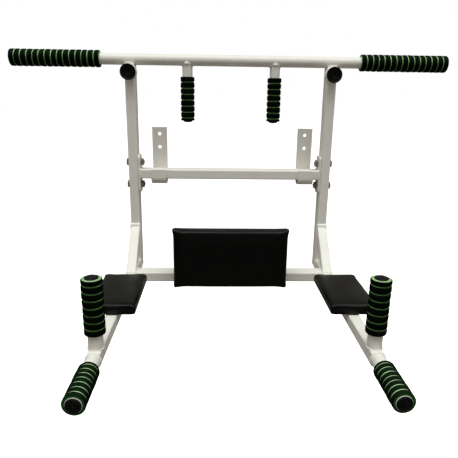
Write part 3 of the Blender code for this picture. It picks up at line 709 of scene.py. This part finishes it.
dress(powder_coat, "lower_cross_tube", "brace_left", "brace_right", "arm_left", "arm_right")
tube_low, tube_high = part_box("lower_cross_tube")
for word, tube_end in (("left", tube_low.x), ("right", tube_high.x)):
    weld(f"cross_weld_{word}", oblong(tube_low, tube_high, 0, tube_end), cross_bead)
    arm_low, arm_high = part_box(f"arm_{word}")
    weld(f"arm_weld_{word}", oblong(arm_low, arm_high, 1, arm_high.y), arm_bead)
    low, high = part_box(f"brace_{word}")
    slant = brace_width * math.sqrt(2)
    top_low, foot_high = (low.x, high.y, high.z - slant), (high.x, low.y + slant, low.z)
    weld(f"brace_top_weld_{word}", oblong(top_low, high, 1, high.y), brace_top_bead)
    shape = bmesh.new()
    start = Vector((low.x + fillet_short, high.y + fillet_sink, high.z))
    section = [shape.verts.new(start + Vector((0, -out, up))) for out, up in fillet_section]
    faces = [shape.faces.new(section)]
    stride = (high.x - low.x - 2 * fillet_short) / fillet_steps
    for step in range(fillet_steps):
        made = bmesh.ops.extrude_face_region(shape, geom=faces)["geom"]
        faces = only(bmesh.types.BMFace, made)
        out = fillet_waver * math.sin(fillet_rates[0] * step)
        up = fillet_waver * math.cos(fillet_rates[1] * step)
        bmesh.ops.translate(shape, verts=only(bmesh.types.BMVert, made), vec=(stride, out, up))
    bmesh.ops.recalc_face_normals(shape, faces=shape.faces)
    coated(f"brace_fillet_{word}", as_mesh(shape, f"brace_fillet_{word}"))
    weld(f"brace_foot_weld_{word}", oblong(low, foot_high, 2, low.z), brace_foot_bead)


# Posts and dip handles
# 28 mm tubes, one upright on each arm and one straight on from its end, both welded round the foot.
post_bead = 0.0020
dip_bead = 0.0018
bar_round = [(bar_radius * math.cos(t), bar_radius * math.sin(t)) for t in ring_turns]

for side, word in SIDES:
    tube = round_tube(f"post_tube_{word}", f"post_{word}", (0, 0, 1), bar_radius)
    coated(f"post_tube_{word}", tube, f"post_{word}")
    foot = span(f"post_{word}", (0, 0, 1))[0]
    arm_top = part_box(f"arm_{word}")[1].z
    weld(f"post_weld_{word}", [(foot.x + u, foot.y + v, arm_top) for u, v in bar_round], post_bead)
    tube = round_tube(f"dip_tube_{word}", f"dip_handle_{word}", (0, -1, 0), bar_radius)
    coated(f"dip_tube_{word}", tube, f"dip_handle_{word}")
    foot = span(f"dip_handle_{word}", (0, -1, 0))[0]
    weld(f"dip_weld_{word}", [(foot.x + u, foot.y, foot.z + v) for u, v in bar_round], dip_bead)


# Foam grips
# Soft foam sleeves pushed on every handle: a thin black skin over a green core. Grooves cut through
# the skin leave black ribs with green lines between them, and the cut ends show the core too.
thick_bore = 0.0143
thin_bore = 0.0133
groove_width = 0.0038
groove_side = (  # how deep a groove is at each distance in from its edge, the last three in the core
    (0.0, -0.0014), (0.0003, -0.0005), (0.0009, 0.0002), (0.0015, 0.0007),
    (0.0018, 0.0010), (0.0023, 0.0014), (0.0025, 0.0019),
)
core_depth = 0.0016
grip_end = ((0.0019, 0.0), (0.0014, 0.0001), (0.0007, 0.0005), (0.0002, 0.0012), (0.0, 0.0022))
end_skin = 0.0018
end_reach = 0.0005  # how near its end the sleeve is cut foam
end_true = 0.004  # the length that stays true at each end, while the grooves waver between
end_fade = 0.01
bore_true = 0.001
rib_swell, rib_rate, rib_shift = 0.00022, 2.3, 9
groove_waver, groove_rate, groove_shift = 0.0004, 110, 5
out_of_round, oval_rate = 0.006, 90
cell_size = 1500.0
# Painted light: each foam colour has a paler _lit copy, given to what faces up
foam_black, foam_black_lit = (0.0010, 0.0030, 0.0011, 1), (0.0034, 0.0145, 0.0045, 1)
# Painted shade: the cut ends' green is far darker than the grooves', the shade on ends that don't face up
cut_green, cut_green_lit = (0.020, 0.095, 0.014, 1), (0.26, 0.56, 0.18, 1)
groove_green, groove_green_lit = (0.20, 0.43, 0.145, 1), (0.56, 0.76, 0.45, 1)
foam_dust = (0.16, 0.18, 0.15, 1)

foam, tree, shader = new_material("ribbed_foam")
core = add_node(tree, "ShaderNodeAttribute", (("attribute_name", "core"),)).outputs["Fac"]
# upper is how much a point faces up; it carries the painted light
upper = add_node(tree, "ShaderNodeAttribute", (("attribute_name", "upper"),)).outputs["Fac"]
face = use_group(tree, skin, Pebbles=cell_size, Clouds=45.0)
cells = add_node(tree, "ShaderNodeTexVoronoi", Vector=own_place(tree), Scale=cell_size)
black, cut_end, groove = (  # painted light: what faces up takes the paler, lit copy of each colour
    blend_colour(tree, upper, plain, lit)
    for plain, lit in (
        (foam_black, foam_black_lit), (cut_green, cut_green_lit), (groove_green, groove_green_lit),
    )
)
green = blend_colour(tree, ramp(tree, core, 0.6, 0.9), cut_end, groove)
tone = blend_colour(tree, ramp(tree, core, 0.2, 0.4), black, green)
tone = dusted(tree, tone, 0.03, 60.0, foam_dust)
shadow = maths(tree, "MULTIPLY", face["Tone"], 0.35)
tone = blend_colour(tree, shadow, tone, (0, 0, 0, 1))
feed(tree, shader, Base_Color=tone, Roughness=0.8, Specular_IOR_Level=0.03)
bump(tree, shader, cells.outputs["Distance"], 0.00025, 0.6)


def grip_profile(radius, length, bore, grooves, first, last, shift):
    """A sleeve's outline, from its bore round its ribs and back."""
    pitch = (length + groove_width) / (grooves - 1 + first + last)
    points = [(bore, 0)] + [(radius - depth, level) for depth, level in grip_end]
    edge = first * pitch - groove_width
    back = [(depth, groove_width - step) for depth, step in reversed(groove_side[:-1])]
    for rib in range(grooves):
        swell = rib_swell * math.sin(rib_rate * rib + shift)
        for depth, step in (*groove_side, *back):
            points.append((radius - depth + swell * (not depth), edge + step))
        edge += pitch
    points += [(radius - depth, length - level) for depth, level in reversed(grip_end)]
    return points + [(bore, length), (bore, 0)]


def foam_grip(name, along, bore, grooves, first, last):
    """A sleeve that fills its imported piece's box. Its first and last ribs are shares of a whole one."""
    low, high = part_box(name)
    middle, way = (low + high) / 2, Vector(along)
    foot, length = span(name, along)
    radius = min((high - low)[axis] for axis in range(3) if not abs(way[axis])) / 2
    shape = bmesh.new()
    profile = grip_profile(radius, length, bore, grooves, first, last, rib_shift * middle.x)
    lathe(shape, profile, round_sides)
    shows = shape.verts.layers.float.new("core")
    for vert in shape.verts:
        out, level = vert.co.xy.length, vert.co.z
        turn = math.atan2(vert.co.y, vert.co.x)
        # Cut ends get 0.5, which picks the darker cut green as painted shade
        if min(level, length - level) < end_reach:
            vert[shows] = 0.5 if out < radius - end_skin else 0.0
        else:
            vert[shows] = 1.0 if out < radius - core_depth else 0.0
        if out > bore + bore_true:
            inside = min(level - end_true, length - end_true - level)
            soft = max(0.0, min(1.0, inside / end_fade))
            waver = math.sin(turn + groove_rate * level + groove_shift * middle.x)
            vert.co.z += soft * groove_waver * waver
            vert.co.xy *= 1 + out_of_round * math.sin(2 * turn + oval_rate * level)
    mesh = placed(shape, name, foot, along)
    # Painted light: how much each point faces up, which gives it the foam's paler lit colours
    upper = mesh.attributes.new("upper", "FLOAT", "POINT")
    for vert, item in zip(mesh.vertices, upper.data):
        level = (vert.co - middle).dot(way)
        out = vert.co - middle - way * level
        item.value = max(0.0, way.z if level > length / 2 - end_reach else out.normalized().z)
    finished(name + "_foam", mesh, foam, [name])


for side, word in SIDES:
    foam_grip(f"bar_grip_{word}", (side, 0, 0), thick_bore, 14, 1, 1)
    foam_grip(f"neutral_grip_{word}", (0, 0, -1), thin_bore, 7, 1, 0.62)
    foam_grip(f"post_grip_{word}", (0, 0, 1), thick_bore, 7, 1, 0.87)
    foam_grip(f"dip_grip_{word}", (0, -1, 0), thick_bore, 7, 0.64, 1)


# Tube plugs
# Domed black plastic plugs pushed in the open end of every gripped tube.
wide_stem, wide_rim = 0.0115, 0.0130
thin_stem, thin_rim = 0.0105, 0.0120
dip_rim = 0.0134
plug_edge = 0.0006
plug_dome = 0.0039
plug_taper, plug_taper_length = 0.001, 0.002
dome_turns = [math.pi / 2 * step / 12 for step in range(12, -1, -1)]


def tube_plug(name, along, stem, rim):
    """A plug whose stem stands in the tube and whose rim and dome close its end."""
    foot, length = span(name, along)
    flange = length - plug_edge - plug_dome
    profile = [
        (0, 0), (stem - plug_taper, 0), (stem, plug_taper_length), (stem, flange), (rim, flange),
        *((rim * math.sin(t), flange + plug_edge + plug_dome * math.cos(t)) for t in dome_turns),
    ]
    plastic_piece(name + "_made", profile, foot, along, name)


for side, word in SIDES:
    tube_plug(f"bar_plug_{word}", (side, 0, 0), wide_stem, wide_rim)
    tube_plug(f"neutral_plug_{word}", (0, 0, -1), thin_stem, thin_rim)
    tube_plug(f"post_plug_{word}", (0, 0, 1), wide_stem, wide_rim)
    tube_plug(f"dip_plug_{word}", (0, -1, 0), wide_stem, dip_rim)


# Back pad's bracket and the boards
# A steel plate stands on the lower cross tube, held by two stitches of weld, and carries the back
# pad's plywood board. Each elbow pad has such a board too, screwed on through its arm.
stitch_bead = 0.0022
stitch_start, stitch_end = 0.022, 0.050  # out from the middle
ply_pitch = 0.0026
ply_pale = (0.66, 0.48, 0.29, 1)
ply_brown = (0.36, 0.22, 0.10, 1)
ply_dark_layer = (0.26, 0.15, 0.07, 1)

dress(powder_coat, "back_pad_bracket")
low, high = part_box("back_pad_bracket")
for side, word in SIDES:
    stitch = [(side * out, high.y, low.z) for out in (stitch_start, stitch_end)]
    weld(f"bracket_weld_{word}", stitch, stitch_bead, False)


def plywood(name, through, along):
    """Birch plywood: layers through the board's thickness and grain along its face."""
    made, tree, shader = new_material(name)
    place = own_place(tree)
    depth = add_node(tree, "ShaderNodeSeparateXYZ", Vector=place).outputs[through]
    layer = maths(tree, "SINE", maths(tree, "MULTIPLY", depth, 2 * math.pi / ply_pitch))
    stretch = [60.0, 60.0, 60.0]
    stretch[along] = 5.0
    laid = add_node(tree, "ShaderNodeMapping", Vector=place, Scale=stretch)
    grain = noise(tree, laid.outputs[0], 3.0, 7.0, Distortion=0.6)
    figure = blend_colour(tree, grain, ply_brown, ply_pale)
    edge = blend_colour(tree, ramp(tree, layer, -0.2, 0.5), ply_dark_layer, figure)
    flat = ramp(tree, maths(tree, "ABSOLUTE", facing(tree)[through]), 0.6, 0.8)
    feed(tree, shader, Base_Color=blend_colour(tree, flat, edge, figure), Roughness=0.7)
    bump(tree, shader, grain, 0.0003, 0.5)
    return made


dress(plywood("plywood_upright", 1, 0), "back_pad_board")
dress(plywood("plywood_flat", 2, 1), "elbow_pad_board_left", "elbow_pad_board_right")


# Pads
# Foam blocks under smooth black leatherette, pulled over the board's edges and pleated at the
# corners, so the sides draw in between the corners and the face crowns.
back_front_round, back_ear = 0.0064, 0.0030
elbow_front_round, elbow_ear = 0.0080, 0.0012
ridge_round = 0.006
back_round = 0.002
round_segments = 5
remesh_size = 0.0035
spare = 0.0010  # what the remesh takes off each side
side_draw = 0.0006
crown = 0.0012
puff_pressure = 4.0
puff_frames = 20
puff_share = 0.25
puff_cap = 0.0025
board_grip = 0.35  # the share of the thickness that the board holds still
pleat_depth = 0.0004
pleat_pitch = 0.007
pleat_reach = 0.024
pleat_edge = 0.006
pleat_rise = 0.7  # of the thickness
pocket_gap = 0.0003
board_depth = 0.009
board_corner = 0.008
pad_grain = 800.0
pad_roughness = 0.29
pad_deep = (0.0004, 0.0008, 0.0006, 1)
pad_pale = (0.0012, 0.0018, 0.0014, 1)
pad_rub = (0.03, 0.03, 0.027, 1)
pad_dust = (0.14, 0.14, 0.125, 1)

leatherette, tree, shader = new_material("black_leatherette")
pebble = add_node(
    tree, "ShaderNodeTexVoronoi", (("feature", "SMOOTH_F1"),), Vector=own_place(tree), Scale=pad_grain,
)
face = use_group(tree, skin, Pebbles=2200.0, Clouds=16.0)
tone = blend_colour(tree, face["Tone"], pad_deep, pad_pale)
tone = scuffed(tree, tone, 0.15, 200.0, pad_rub)
tone = dusted(tree, tone, 0.06, 18.0, pad_dust)
gloss = maths(tree, "MULTIPLY_ADD", face["Tone"], 0.10, pad_roughness)
feed(tree, shader, Base_Color=tone, Roughness=gloss, Specular_IOR_Level=0.14)
height = maths(tree, "MULTIPLY_ADD", face["Height"], 0.35, pebble.outputs["Distance"])
bump(tree, shader, height, 0.00012, 0.5)


def rounded(shape, offset, wanted):
    """Rounds the edges whose ends' heights are the wanted ones."""
    edges = [edge for edge in shape.edges if wanted(*sorted(vert.co.z for vert in edge.verts))]
    bmesh.ops.bevel(
        shape, geom=edges, offset=offset, segments=round_segments, profile=0.5, affect="EDGES",
        material=-1,
    )


def pad_form(width, length, thick, front_round):
    """A block lying on Z = 0, its face's edges rounded and meeting in a ridge at each corner."""
    shape = bmesh.new()
    size = Matrix.Diagonal((width, length, thick, 1))
    bmesh.ops.create_cube(shape, size=1, matrix=Matrix.Translation((0, 0, thick / 2)) @ size)
    rounded(shape, front_round, lambda low, high: low > thick * 0.9)
    rounded(shape, ridge_round, lambda low, high: high - low > same_level)
    rounded(shape, back_round, lambda low, high: high < thick * 0.1)
    return shape


def taken(block):
    """The object's mesh as its modifiers leave it, with the modifiers gone."""
    mesh = evaluated_mesh(block)
    block.modifiers.clear()
    block.data = mesh
    return mesh


def drawn_in(block, width, length, thick, ear_size):
    """Pulls the sides in between the corners' ears and crowns the face."""
    for vert in block.data.vertices:
        u, v, w = vert.co.x / width * 2, vert.co.y / length * 2, vert.co.z / thick
        rise = min(1.0, 2 * w)
        ear = ear_size * (1 + 0.5 * v) * min(1.0, u ** 10 * v ** 10) * rise
        vert.co.x += math.copysign(ear, u) - side_draw * rise * (1 - v ** 6) * u ** 5
        vert.co.y += math.copysign(ear, v) - side_draw * rise * (1 - u ** 6) * v ** 5
        vert.co.z += crown * (1 - u ** 4) * (1 - v ** 4) * w ** 2


def puffed(block, thick):
    """Blows the cover up a little as cloth, with its underside held by the board."""
    start = [vert.co.copy() for vert in block.data.vertices]
    held = block.vertex_groups.new(name="held")
    under = [vert.index for vert in block.data.vertices if vert.co.z < thick * board_grip]
    held.add(under, 1.0, "REPLACE")
    cloth = block.modifiers.new("cloth", "CLOTH")
    cloth.settings.use_pressure = True
    cloth.settings.uniform_pressure_force = puff_pressure
    cloth.settings.effector_weights.gravity = 0
    cloth.settings.vertex_group_mass = "held"
    cloth.point_cache.frame_start = 1
    cloth.point_cache.frame_end = puff_frames
    for step in range(1, puff_frames + 1):
        scene.frame_set(step)
    taken(block)
    scene.frame_set(1)
    for vert, before in zip(block.data.vertices, start):
        move = (vert.co - before) * puff_share
        vert.co = before + move * min(1.0, puff_cap / max(move.length, puff_cap / 10))


def pleated(block, width, length, thick):
    """Presses the cover's small folds into the sides next to each corner."""
    for vert in block.data.vertices:
        reach = Vector((width / 2 - abs(vert.co.x), length / 2 - abs(vert.co.y)))
        away = max(reach) if min(reach) < pleat_edge else pleat_reach
        if away < pleat_reach and vert.co.z < thick * pleat_rise:
            fold = pleat_depth * (1 - away / pleat_reach) * math.cos(2 * math.pi * away / pleat_pitch)
            fold *= math.sin(math.pi * vert.co.z / thick / pleat_rise)
            vert.co.xy -= vert.co.xy.normalized() * fold


def board_pocket(name, board, through):
    """What is cut out of a pad's back for its board."""
    low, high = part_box(board)
    size = high - low
    hollow = (size.x + 2 * pocket_gap, (size.z if through == 1 else size.y) + 2 * pocket_gap)
    shape = bmesh.new()
    scale = Matrix.Diagonal((*hollow, 2 * (board_depth + pocket_gap), 1))
    bmesh.ops.create_cube(shape, size=1, matrix=scale)
    corners = [edge for edge in shape.edges if abs(edge.verts[0].co.z - edge.verts[1].co.z) > same_level]
    bmesh.ops.bevel(
        shape, geom=corners, offset=board_corner, segments=round_segments, profile=0.5, affect="EDGES",
        material=-1,
    )
    return linked(name, as_mesh(shape, name))


def cushion(name, board, through, front_round, ear_size):
    """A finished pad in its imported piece's box, with a pocket in its back for the board."""
    low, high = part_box(name)
    size, middle = high - low, (low + high) / 2
    if through == 1:
        width, length, thick = size.x, size.z, size.y
        lay = Matrix.Translation((middle.x, high.y, middle.z)) @ Matrix.Rotation(math.pi / 2, 4, "X")
    else:
        width, length, thick = size
        lay = Matrix.Translation((middle.x, middle.y, low.z))
    form = pad_form(width + 2 * spare, length + 2 * spare, thick, front_round)
    block = linked(name, as_mesh(form, name))
    remesh = block.modifiers.new("remesh", "REMESH")
    remesh.mode = "VOXEL"
    remesh.voxel_size = remesh_size
    taken(block)
    drawn_in(block, width, length, thick, ear_size)
    puffed(block, thick)
    pleated(block, width, length, thick)
    smooth = block.modifiers.new("smooth", "SUBSURF")
    smooth.levels = 1
    smooth.render_levels = 1
    hole = board_pocket(name + "_pocket", board, through)
    pocket = block.modifiers.new("pocket", "BOOLEAN")
    pocket.operation = "DIFFERENCE"
    pocket.solver = "EXACT"
    pocket.object = hole
    mesh = taken(block)
    bpy.data.objects.remove(block)
    bpy.data.objects.remove(hole)
    mesh.transform(lay)
    finished(name + "_cover", mesh, leatherette, [name])


cushion("back_pad_cushion", "back_pad_board", 1, back_front_round, back_ear)
for side, word in SIDES:
    cushion(
        f"elbow_pad_cushion_{word}", f"elbow_pad_board_{word}", 2, elbow_front_round, elbow_ear,
    )
